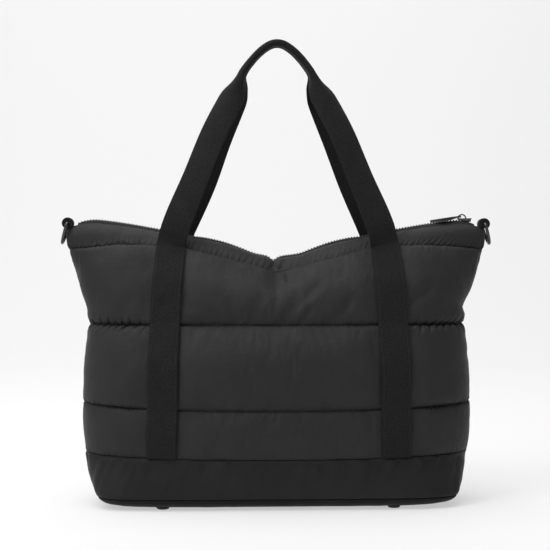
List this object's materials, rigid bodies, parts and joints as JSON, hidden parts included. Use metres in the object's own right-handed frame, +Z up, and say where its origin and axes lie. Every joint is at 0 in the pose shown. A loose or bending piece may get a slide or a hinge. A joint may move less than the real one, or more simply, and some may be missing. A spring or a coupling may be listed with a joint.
{
  "type": "quilted pillow tote bag",
  "caption": "Padded tote bag with horizontally quilted panels, a plain base on feet, a zip top, webbing carry handles and a ring at each top corner.",
  "frame": {"origin": "on the floor under the middle of the bag", "axes": "+Z up, +X to the bag's right as seen from the front, the front faces -Y"},
  "size_m": [0.4814, 0.1622, 0.5136],
  "materials": {
    "shell_nylon": "charcoal black matt nylon with a fine weave and a faint sheen",
    "base_nylon": "black dense nylon, plain, a little darker than the shell",
    "webbing": "matt black woven webbing with stitched edges",
    "zip_tape": "black woven zip tape",
    "zip_coil": "black nylon coil teeth",
    "black_metal": "black lacquered metal, half gloss",
    "foot_plastic": "black moulded plastic"
  },
  "bodies": {
    "bag": {"front_panel": "shell_nylon", "back_panel": "shell_nylon", "base_panel": "base_nylon", "front_handle": "webbing", "back_handle": "webbing", "left_ring_loop": "webbing", "right_ring_loop": "webbing", "zip_tape_front": "zip_tape", "zip_tape_back": "zip_tape", "zip_chain": "zip_coil", "zip_slider": "black_metal", "base_foot_front_left": "foot_plastic", "base_foot_front_right": "foot_plastic", "base_foot_back_left": "foot_plastic", "base_foot_back_right": "foot_plastic"},
    "zip_puller": {"zip_puller": "black_metal"},
    "left_ring": {"left_ring": "black_metal"},
    "right_ring": {"right_ring": "black_metal"}
  },
  "joints": [
    {"name": "zip_puller_flip", "type": "hinge", "parent": "bag", "child": "zip_puller", "pos_m": [0.2083, 0, 0.3158], "axis": [0, 1, 0], "range_deg": [0, 95]},
    {"name": "left_ring_swing", "type": "hinge", "parent": "bag", "child": "left_ring", "pos_m": [-0.2328, 0, 0.3095], "axis": [0, 1, 0], "range_deg": [-8, 140]},
    {"name": "right_ring_swing", "type": "hinge", "parent": "bag", "child": "right_ring", "pos_m": [0.2328, 0, 0.3095], "axis": [0, -1, 0], "range_deg": [-8, 140]}
  ]
}
